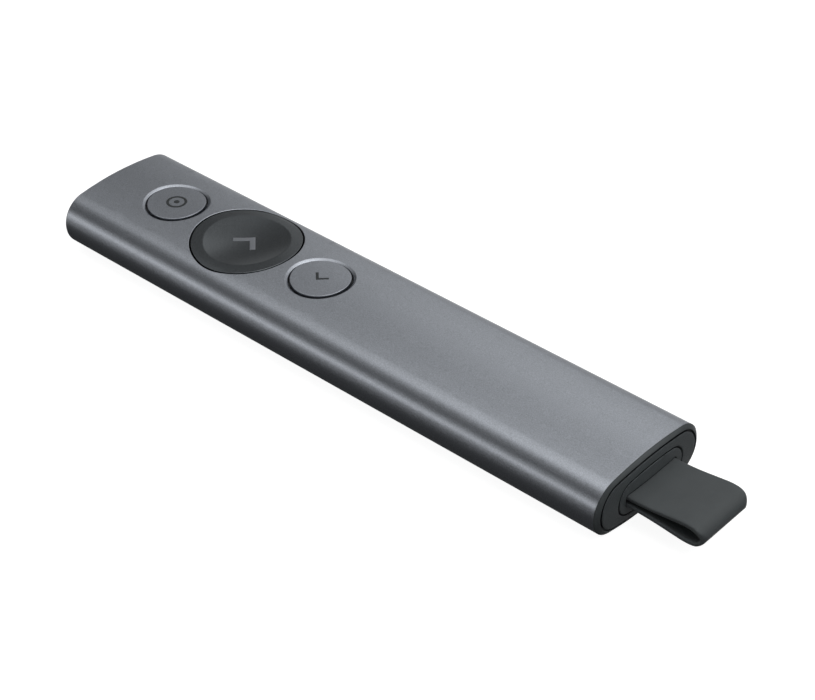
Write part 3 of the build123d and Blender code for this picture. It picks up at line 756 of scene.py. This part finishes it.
# ------------------------------------------------------------------ receiver
def receiver():
    b = Build()
    out, slot_, pocket = oval(PLUG), round_box(6.66, 1.23, 0.30), round_box(6.90, 2.26, 0.3)
    slot_[:, 1] -= 0.17
    relief = round_box(6.90, 1.345, 0.75)               # the slot opens a little round the strap's root
    relief[:, 1] -= 0.045
    rows = [ring3(slot_, 61.2), ring3(slot_, 63.5), ring3(slot_, 64.30), ring3(relief, 64.30), ring3(relief, 64.8)]
    flange = oval(TAIL_PLUG)
    rows += dome_rows(flange, relief, (0.1, 0.3, 0.5, 0.7, 0.9), edge_out=0.08, edge_in=0.05)[::-1]
    rows += [ring3(flange, 64.42), ring3(out, 64.38)]
    rows += [ring3(out, 62.0), ring3(out, 58.0), ring3(out, 53.98), ring3(out * 0.992, 53.90), ring3(pocket, 53.90), ring3(pocket, 60.8)]
    b.grid(np.array(rows), wrap=True)
    b.fan(rows[0], (61.2, 0, SZ))
    b.fan(rows[-1], (60.8, 0, SZ))
    o = smooth(b.make("receiver_body"), 35)
    # painted shade: a black bead round the receiver's flange, in a gap where only shadow falls
    painted_shade_bead("receiver_painted_shade", "receiver", TAIL_PLUG, 0.09, 64.44, wide=0.28)
    b = Build()                                         # a black bead in the slot round the strap's root: painted shade, it darkens the gap where only shadow falls
    grown, root = round_box(6.93, 1.375, 0.77), round_box(6.56, 1.13, 0.31)
    grown[:, 1] -= 0.045
    root[:, 1] -= 0.17
    face_out, face_in = dome(grown[:, 0], grown[:, 1]) - 0.10, dome(root[:, 0], root[:, 1]) - 0.13
    b.grid(np.array([ring3(grown, face_out), ring3(grown, 64.32), ring3(root, 64.32), ring3(root, face_in)]), wrap=True, close=True)
    place(smooth(b.make("strap_root_painted_shade"), 35), "receiver", M["painted_shade_black"], "end_plastic")
    return place(o, "receiver", M["face_plastic"], "end_plastic", "receiver_housing")


receiver()


def spline(points, n, closed=False):
    """Centripetal Catmull-Rom through the points, sampled evenly by length."""
    p = np.array(points, float)
    p = np.vstack([2 * p[0] - p[1], p, 2 * p[-1] - p[-2]])
    out = []
    for i in range(1, len(p) - 2):
        p0, p1, p2, p3 = p[i - 1:i + 3]
        t0 = 0.0
        t1 = t0 + np.linalg.norm(p1 - p0) ** 0.5
        t2 = t1 + np.linalg.norm(p2 - p1) ** 0.5
        t3 = t2 + np.linalg.norm(p3 - p2) ** 0.5
        for t in np.linspace(t1, t2, 24, endpoint=False):
            a1 = (t1 - t) / (t1 - t0) * p0 + (t - t0) / (t1 - t0) * p1
            a2 = (t2 - t) / (t2 - t1) * p1 + (t - t1) / (t2 - t1) * p2
            a3 = (t3 - t) / (t3 - t2) * p2 + (t - t2) / (t3 - t2) * p3
            b1 = (t2 - t) / (t2 - t0) * a1 + (t - t0) / (t2 - t0) * a2
            b2 = (t3 - t) / (t3 - t1) * a2 + (t - t1) / (t3 - t1) * a3
            out.append((t2 - t) / (t2 - t1) * b1 + (t - t1) / (t2 - t1) * b2)
    out.append(p[-2])
    out = np.array(out)
    s = np.concatenate([[0], np.cumsum(np.linalg.norm(np.diff(out, axis=0), axis=1))])
    u = np.linspace(0, s[-1], n)
    return np.stack([np.interp(u, s, out[:, k]) for k in range(out.shape[1])], -1)


STRAP_OUT = [(65.4, 7.00), (66.8, 6.99), (68.2, 7.07), (70.2, 7.23), (72.4, 7.50), (74.6, 7.80), (76.4, 7.99),
             (78.1, 7.83), (79.2, 7.20), (79.8, 6.45), (80.0, 5.70), (79.68, 4.95), (79.0, 4.40), (78.1, 4.07),
             (76.4, 3.97), (74.6, 4.11), (72.4, 4.33), (70.2, 4.52), (68.2, 4.63), (66.8, 4.67), (65.4, 4.66)]
STRAP_IN = [(64.90, 6.14), (66.6, 6.18), (68.7, 6.32), (70.8, 6.52), (72.9, 6.74), (75.4, 7.03), (77.1, 7.10),
            (78.3, 6.80), (79.0, 6.22), (79.17, 5.70), (78.8, 5.20), (78.0, 4.90), (76.4, 4.80), (74.4, 4.95),
            (72.4, 5.15), (70.2, 5.35), (68.2, 5.46), (66.6, 5.51), (64.90, 5.52)]
STRAP_HALF = 6.6
STRAP_CORNER = 1.5


def strap():
    """One strip folded into a flat loop: a band swept round the gap, with soft edges and rounded tip corners."""
    n, k = 170, 44
    O, I = spline(STRAP_OUT, n), spline(STRAP_IN, n)
    back_o = spline([(65.4, 4.66), (63.4, 4.66), (61.35, 4.66), (61.25, 4.76), (61.25, 6.90), (61.35, 7.00), (63.4, 7.00), (65.4, 7.00)], k)
    t = np.linspace(-pi / 2, -3 * pi / 2, k)
    back_i = np.stack([64.90 + 0.31 * np.cos(t), 5.83 + 0.31 * np.sin(t)], -1)
    O = np.vstack([O, back_o[1:-1]])
    I = np.vstack([I, back_i[1:-1]])
    tip = O[:, 0].max() + 0.01
    rc = 0.35
    b = Build()
    rows = []
    for o, i in zip(O, I):
        th = np.linalg.norm(o - i)
        r = min(rc, th * 0.42)
        d = (i - o) / th

        def half(x):
            g = min(max(x - (tip - STRAP_CORNER), 0.0), STRAP_CORNER)
            return STRAP_HALF - STRAP_CORNER + math.sqrt(STRAP_CORNER ** 2 - g * g)
        loop = []

        def at(y, w):
            """y as a share of the half width, less a length; w across the thickness."""
            share, less = y
            px = o[0] + d[0] * w
            h = half(px)
            return (px, share * (h - less), o[1] + d[1] * w)
        for f in np.linspace(-1, 1, 25):
            loop.append(at((f, r), 0.0))
        for q in range(1, 6):
            a = pi / 2 * q / 6
            loop.append(at((1, r - r * math.sin(a)), r * (1 - math.cos(a))))
        for f in np.linspace(0, 1, 4):
            loop.append(at((1, 0.0), r + (th - 2 * r) * f))
        for q in range(1, 6):
            a = pi / 2 * q / 6
            loop.append(at((1, r - r * math.cos(a)), th - r + r * math.sin(a)))
        for f in np.linspace(1, -1, 25):
            loop.append(at((f, r), th))
        for q in range(1, 6):
            a = pi / 2 * q / 6
            loop.append(at((-1, r - r * math.sin(a)), th - r + r * math.cos(a)))
        for f in np.linspace(1, 0, 4):
            loop.append(at((-1, 0.0), r + (th - 2 * r) * f))
        for q in range(1, 6):
            a = pi / 2 * q / 6
            loop.append(at((-1, r - r * math.cos(a)), r - r * math.sin(a)))
        rows.append(loop)
    b.grid(np.array(rows), wrap=True, close=True)
    o = smooth(b.make("strap_band"), 60)
    return place(o, "receiver", M["strap_rubber"], "strap_rubber", "strap_loop")


strap()


# ------------------------------------------------------------------ buttons
def chevron(apex, arm, t, sense):
    k = 1 / math.sqrt(2)
    ox, oy = arm * k, apex - arm * k
    ix, iy = ox - t * k, oy - t * k
    p = [(0, apex), (ox, oy), (ix, iy), (0, apex - t * math.sqrt(2)), (-ix, iy), (-ox, oy)]
    return [(x, sense * y) for x, y in p]


def grow(poly, d):
    """The polygon offset outwards by d."""
    p = np.array(poly, float)
    n = len(p)
    area = sum(p[i][0] * p[(i + 1) % n][1] - p[(i + 1) % n][0] * p[i][1] for i in range(n))
    s = 1 if area > 0 else -1
    out = []
    for i in range(n):
        e0, e1 = p[i] - p[i - 1], p[(i + 1) % n] - p[i]
        n0 = s * np.array([e0[1], -e0[0]]) / np.linalg.norm(e0)
        n1 = s * np.array([e1[1], -e1[0]]) / np.linalg.norm(e1)
        m = n0 + n1
        out.append(p[i] + d * m / (m @ n0))
    return np.array(out)


def prism(name, poly, cx, z0, z1):
    """A plain upright prism, used only as a cutter."""
    p = np.array(poly, float)
    n = len(p)
    v = [(x + cx, y, z0) for x, y in p] + [(x + cx, y, z1) for x, y in p]
    b = Build()
    b.add(v, [tuple(range(n))[::-1], tuple(range(n, 2 * n))] + [(i, (i + 1) % n, n + (i + 1) % n, n + i) for i in range(n)])
    return b.make(name)


def circle(r, n=64):
    return [(r * math.cos(2 * pi * i / n), r * math.sin(2 * pi * i / n)) for i in range(n)]


def cut(o, tool):
    m = o.modifiers.new("cut", "BOOLEAN")
    m.operation = "DIFFERENCE"
    m.object = tool
    m.solver = "EXACT"
    dg = bpy.context.evaluated_depsgraph_get()
    me = bpy.data.meshes.new_from_object(o.evaluated_get(dg))
    o.modifiers.clear()
    old = o.data
    o.data = me
    bpy.data.meshes.remove(old)
    tm = tool.data
    bpy.data.objects.remove(tool)
    bpy.data.meshes.remove(tm)


def cap(name, cx, radius, top, z_low, edge, radii, n=120):
    """A round button cap: its top is top(x, y), its edge is rounded, its underside flat."""
    b = Build()
    th = np.arange(n) * 2 * pi / n
    c, s = np.cos(th), np.sin(th)

    def ring(r, z):
        return np.stack([cx + r * c, r * s, z], -1)
    rows = []
    for r in radii:
        rows.append(ring(r, top(r * c, r * s)))
    for k in (1, 2, 3, 4):
        t = pi / 2 * k / 4
        r = radius - edge + edge * math.sin(t)
        rows.append(ring(r, top((radius - edge) * c, (radius - edge) * s) - edge * (1 - math.cos(t))
                         + 0 * c))
    zb = rows[-1][:, 2]
    for f in (0.4, 1.0):
        rows.append(ring(radius, zb * (1 - f) + (z_low + 0.04) * f))
    rows.append(ring(radius - 0.04, np.full(n, z_low)))
    b.grid(np.array(rows), wrap=True)
    m = len(rows[0])
    centre = (cx, 0.0, float(top(np.zeros(1), np.zeros(1))[0]))
    b.add(np.vstack([rows[0], [centre]]), [(i, (i + 1) % m, m) for i in range(m)])
    b.fan(rows[-1], (cx, 0, z_low))
    return b.make(name)


def small_top(x, y):
    return skin(y, SMALL_SINK)


def dish_top(x, y):
    rho2 = x * x + y * y
    base = skin(y, BIG_SINK)
    depth = DISH_D * (1 - rho2 / DISH_R ** 2)
    k = 0.012                                       # the dish's rim is broken by a few hundredths
    return base - np.where(depth > 20 * k, depth, k * np.log1p(np.exp(np.minimum(depth / k, 20))))


def top_normals(o, top, cx):
    """Gives the faces of a cap's top the normals of the surface itself, whatever cuts them."""
    h = 1e-3
    co = np.array([v.co for v in o.data.vertices]) * 1000
    x, y = co[:, 0] - cx, co[:, 1]
    gx = (top(x + h, y) - top(x - h, y)) / (2 * h)
    gy = (top(x, y + h) - top(x, y - h)) / (2 * h)
    vn = np.stack([-gx, -gy, np.ones_like(gx)], -1)
    vn /= np.linalg.norm(vn, axis=1)[:, None]
    return surface_normals(o, np.abs(co[:, 2] - top(x, y)) < 0.004, vn)


def inlay(name, poly_fine, cx, top, depth, lift=0.0, bevel=0.03, n_div=0.35):
    """A thin inlay with an outline and a broken edge whose top follows the cap's surface."""
    poly = np.array(poly_fine, float)
    inner = grow(poly, -bevel)
    n = len(poly)
    b = Build()

    def z(p, d):
        return np.stack([p[:, 0] + cx, p[:, 1], top(p[:, 0], p[:, 1]) + d], -1)
    rows = [z(poly, -depth), z(poly, lift - bevel * 0.6), z(inner, lift)]
    b.grid(np.array(rows), wrap=True)
    b.add(rows[0], [tuple(range(n))])
    b.add(rows[2], [tuple(range(n))])
    o = b.make(name)
    bm = bmesh.new()
    bm.from_mesh(o.data)
    big = [f for f in bm.faces if len(f.verts) > 4]
    bmesh.ops.triangulate(bm, faces=big)
    bm.to_mesh(o.data)
    bm.free()
    return o


def densify(poly, step):
    """Adds points along a polygon's sides, so that an inlay can follow a curved top."""
    out = []
    n = len(poly)
    for i in range(n):
        p, q = np.array(poly[i], float), np.array(poly[(i + 1) % n], float)
        k = max(1, int(round(np.linalg.norm(q - p) / step)))
        for j in range(k):
            out.append(tuple(p + (q - p) * j / k))
    return out


def arrow_mesh(name, apex, arm, t, sense, cx, top, depth, lift, bevel=0.03):
    """Arrow head built from two strips of quads that meet at the mitre."""
    b = Build()
    outer = chevron(apex, arm, t, sense)
    k = max(4, int(arm / 0.25))
    tip, o_r, i_r, i_t, i_l, o_l = [np.array(p, float) for p in outer]
    for oo, ii in ((o_r, i_r), (o_l, i_l)):
        prev = None
        f = np.linspace(0, 1, k + 1)
        e = bevel
        u = (oo - tip) / np.linalg.norm(oo - tip)
        across = (ii - oo) / np.linalg.norm(ii - oo)
        width = np.linalg.norm(ii - oo)
        rows = []
        for g in f:
            end = g == 1.0
            po = tip + (oo - tip) * g
            pi_ = i_t + (ii - i_t) * g
            rows.append((po, pi_))
        # cross-section: down the outer side, over the top, down the inner side
        grid = []
        for idx, (po, pi_) in enumerate(rows):
            d = (pi_ - po) / np.linalg.norm(pi_ - po)
            span = np.linalg.norm(pi_ - po)
            stretch = span / width
            pts, hs = [], []
            for s_, h_ in ((0, -depth), (0, lift - e * 0.7), (e * stretch, lift), (span * 0.35, lift), (span * 0.65, lift),
                           (span - e * stretch, lift), (span, lift - e * 0.7), (span, -depth)):
                pts.append(po + d * s_)
                hs.append(h_)
            pts = np.array(pts)
            grid.append(np.stack([pts[:, 0] + cx, pts[:, 1], top(pts[:, 0], pts[:, 1]) + np.array(hs)], -1))
        # broken end
        last = grid[-1].copy()
        inset = grid[-1].copy()
        shift = -u * e
        inset[:, 0] += shift[0]
        inset[:, 1] += shift[1]
        low = last.copy()
        low[2:6, 2] -= e * 0.7
        grid[-1] = inset
        grid.append(low)
        b.grid(np.array(grid))
        g = np.array(grid)
        # underside and end
        b.add(np.vstack([g[:, 0], g[:, -1]]), [(i, i + 1, len(g) + i + 1, len(g) + i) for i in range(len(g) - 1)])
        b.add(low, [(0, 1, 6, 7), (1, 2, 5, 6), (2, 3, 4, 5)])
    return b.make(name)


def buttons():
    small_radii = [0.25, 0.5, 0.75, 1.0, 1.3, 1.6, 2.0, 2.5, 3.0, 3.5, 4.0, 4.5, 5.0, 5.3, SMALL_R - 0.11]
    for nm, cx, body in (("pointer", PX, "pointer_button"), ("back", BX, "back_button")):
        o = cap(nm + "_disc", cx, SMALL_R, small_top, 10.90, 0.11, small_radii)
        if nm == "pointer":
            tool = prism("tool", circle(2.02, 72), cx, 11.6, 13.0)
            core = prism("core", circle(1.48, 72), cx, 11.5, 13.1)
            cut(tool, core)
            cut(o, tool)
            cut(o, prism("tool", circle(0.57, 48), cx, 11.6, 13.0))
        else:
            cut(o, prism("tool", grow(chevron(1.10, 2.333, 0.50, -1), 0.02), cx - 0.10, 11.6, 13.0))
        top_normals(o, small_top, cx)
        place(o, body, M["anodised_disc"], "anodised_sleeve", nm + "_button_cap")
    radii = [0.4, 0.8, 1.3, 1.8, 2.4, 3.0, 3.6, 4.2, 4.8, 5.4, 6.0, 6.6, 7.1, 7.5, 7.8, 8.0, 8.1, 8.16, 8.2, 8.24, 8.28, 8.34, 8.45,
             8.7, 9.1, 9.6, 10.05, BIG_R - 0.12]
    o = cap("next_dish", NX, BIG_R, dish_top, 9.70, 0.12, radii, n=168)
    cut(o, prism("tool", grow(chevron(2.37, 4.20, 1.07, 1), 0.02), NX - 0.15, 10.80, 13.0))
    top_normals(o, dish_top, NX)
    place(o, "next_button", M["button_plastic"], "button_plastic", "next_button_cap")

    # inlays
    def torus_inlay(name, r0, r1, cx, top, lift, e=0.03, n=96):
        b = Build()
        th = np.arange(n) * 2 * pi / n
        c, s = np.cos(th), np.sin(th)
        rows = []
        prof = [(r1, -0.28), (r1, lift - e * 0.7), (r1 - e, lift), ((r0 + r1) / 2, lift)]
        if r0 > 0:
            prof += [(r0 + e, lift), (r0, lift - e * 0.7), (r0, -0.28)]
        for r, h in prof:
            rows.append(np.stack([cx + r * c, r * s, top(r * c, r * s) + h], -1))
        if r0 > 0:
            b.grid(np.array(rows), wrap=True, close=True)
        else:
            b.grid(np.array(rows), wrap=True)
            b.fan(rows[0], rows[0].mean(0))
            b.fan(rows[-1], (cx, 0, float(top(np.zeros(1), np.zeros(1))[0]) + lift))
        return smooth(b.make(name), 50)
    a = torus_inlay("pointer_ring_mark", 1.5, 2.0, PX, small_top, -0.005)
    place(a, "pointer_button", M["dark_mark"], "dark_mark", "pointer_icon")
    d = torus_inlay("pointer_dot_mark", 0.0, 0.55, PX, small_top, -0.005)
    place(d, "pointer_button", M["dark_mark"], "dark_mark")
    c = smooth(arrow_mesh("back_arrow_mark", 1.10, 2.333, 0.50, -1, BX - 0.10, small_top, 0.28, -0.005), 50)
    place(c, "back_button", M["dark_mark"], "dark_mark", "back_icon")
    c = smooth(arrow_mesh("next_arrow_mark", 2.37, 4.20, 1.07, 1, NX - 0.15, lambda x, y: dish_top(x - 0.15, y), 0.20, 0.005), 50)
    place(c, "next_button", M["light_mark"], "light_mark", "next_icon")


buttons()

# ------------------------------------------------------------------ floor
me = bpy.data.meshes.new("floor")
bm = bmesh.new()
bmesh.ops.create_grid(bm, x_segments=8, y_segments=8, size=6.0)
bm.to_mesh(me)
bm.free()
floor = bpy.data.objects.new("floor", me)
bpy.context.scene.collection.objects.link(floor)
m, nt, b = new_material("pale_floor")
v = coords(nt)
g = noise(nt, v, 0.02, 3.0)
nt.links.new(ramp(nt, g, [(0.3, (0.30, 0.30, 0.30)), (0.7, (0.32, 0.32, 0.32))]), b.inputs["Base Color"])
b.inputs["Roughness"].default_value = 0.9
b.inputs["Emission Color"].default_value = (1, 1, 1, 1)
b.inputs["Emission Strength"].default_value = 0.92
floor.data.materials.append(m)
dome_b = Build()                                    # a pale backdrop all round, past the edge of the floor's light
turn = np.arange(64) * 2 * pi / 64
rise = np.radians(np.linspace(-1.0, 84.0, 18))
dome_b.grid(np.array([np.stack([5600 * math.cos(a) * np.cos(turn), 5600 * math.cos(a) * np.sin(turn),
                                np.full(64, 5600 * math.sin(a))], -1) for a in rise]), wrap=True)
backdrop = bpy.data.objects.new("backdrop", bpy.data.meshes.new("backdrop"))
backdrop.data.from_pydata((np.vstack(dome_b.v) * 0.001).tolist(), [], dome_b.f)
backdrop.data.polygons.foreach_set("use_smooth", [True] * len(backdrop.data.polygons))
backdrop.data.materials.append(m)
bpy.context.scene.collection.objects.link(backdrop)
for o in (floor, backdrop):                         # their bounce comes from the low cards instead
    o.visible_glossy = False
    o.visible_diffuse = False
    o.visible_shadow = False
backdrop.visible_transmission = False

# ------------------------------------------------------------------ light
AMBIENT = 0.045
world = bpy.data.worlds.new("world")
bpy.context.scene.world = world
world.use_nodes = True
world.node_tree.nodes["Background"].inputs["Color"].default_value = (0.96, 0.98, 1.0, 1)
world.node_tree.nodes["Background"].inputs["Strength"].default_value = AMBIENT


def soft_box(name, psi0, psi1, stops, radius=0.60, gain=1.0):
    """A long soft box parallel to the object. Its place round the object is an angle from overhead towards -Y,
    in degrees, and its brightness along X is graded, as (x in millimetres, radiance) pairs."""
    psi, width = math.radians((psi0 + psi1) / 2), math.radians(psi1 - psi0)
    x0, x1 = stops[0][0] * 0.001, stops[-1][0] * 0.001
    w = 2 * radius * math.tan(width / 2)
    peak = max(v for x, v in stops) * gain
    d = bpy.data.lights.new(name, "AREA")
    d.shape = "RECTANGLE"
    d.size, d.size_y = x1 - x0, w
    d.energy = peak * pi * d.size * d.size_y
    d.use_nodes = True
    nt = d.node_tree
    em = nt.nodes["Emission"]
    geo = nt.nodes.new("ShaderNodeNewGeometry")
    sep = nt.nodes.new("ShaderNodeSeparateXYZ")
    nt.links.new(geo.outputs["Parametric"], sep.inputs[0])
    col = ramp(nt, sep.outputs["X"], [((x * 0.001 - x0) / (x1 - x0), (v * gain / peak,) * 3) for x, v in stops])
    nt.links.new(col, em.inputs["Color"])
    o = bpy.data.objects.new(name, d)
    bpy.context.scene.collection.objects.link(o)
    z = Vector((0, -math.sin(psi), math.cos(psi)))
    x = Vector((1, 0, 0))
    y = z.cross(x)
    c = z * radius
    o.matrix_world = Matrix(((x.x, y.x, z.x, (x0 + x1) / 2), (x.y, y.y, z.y, c.y), (x.z, y.z, z.z, c.z + 0.006), (0, 0, 0, 1)))
    o.visible_camera = False
    return o


# overhead, a wide box that falls off towards the front; behind, a low bounce card and a dim panel;
# beside the near wall, a narrow strip just above the table
soft_box("back_bounce", -150, -112, [(-1200, 1.55), (-430, 1.45), (-250, 1.32), (60, 1.25), (160, 0.30), (600, 0.30)])
soft_box("back_panel", -112, -60, [(-1200, 0.30), (-600, 0.33), (-400, 0.46), (-200, 0.40), (60, 0.40), (160, 0.20), (600, 0.20)])
soft_box("far_low", -60, -42, [(-1200, 0.12), (-620, 0.14), (-480, 0.23), (-400, 0.65), (-250, 0.89), (60, 0.89), (160, 1.20), (600, 1.20)])
soft_box("far_high", -42, -24, [(-1200, 0.20), (-480, 0.20), (-340, 0.39), (-200, 0.39), (0, 0.52), (160, 1.00), (600, 1.00)])
soft_box("overhead_far", -24, 2, [(-1200, 0.48), (-650, 0.48), (-500, 0.21), (-400, 0.62), (-280, 0.94), (80, 0.94), (200, 1.40), (600, 1.40)])
soft_box("overhead_near", 2, 20, [(-1200, 0.34), (-650, 0.34), (-500, 0.57), (-400, 0.91), (-280, 1.15), (-100, 1.27), (80, 1.27), (200, 1.60), (600, 1.60)])
soft_box("overhead_edge", 20, 30, [(-1200, 0.04), (-600, 0.04), (-400, 0.31), (-200, 0.61), (600, 0.61)])
soft_box("near_gap", 30, 48, [(-1200, 0.11), (600, 0.11)])
soft_box("strip_high", 64, 76, [(-1200, 0.62), (-700, 0.62), (-500, 0.48), (-250, 0.32), (600, 0.29)])
soft_box("strip", 76, 86, [(-1200, 1.80), (-700, 1.80), (-500, 1.72), (-300, 1.59), (600, 1.50)])
soft_box("strip_low", 86, 112, [(-1200, 0.36), (-600, 0.30), (-300, 0.09), (600, 0.08)])

def end_box(name, place_, target, width, height, radiance):
    """A soft box that faces a point of the object."""
    d = bpy.data.lights.new(name, "AREA")
    d.shape = "RECTANGLE"
    d.size, d.size_y = width, height
    d.energy = radiance * pi * width * height
    o = bpy.data.objects.new(name, d)
    bpy.context.scene.collection.objects.link(o)
    p = Vector(place_)
    o.matrix_world = Matrix.Translation(p) @ (p - Vector(target)).to_track_quat("Z", "Y").to_matrix().to_4x4()
    o.visible_camera = False
    return o


# a fill that faces the tail
end_box("tail_fill", (0.52, 0.04, 0.56), (0.066, 0, 0.006), 0.90, 0.50, 0.95)

bpy.context.scene.view_settings.view_transform = "Standard"
bpy.context.scene.view_settings.look = "None"
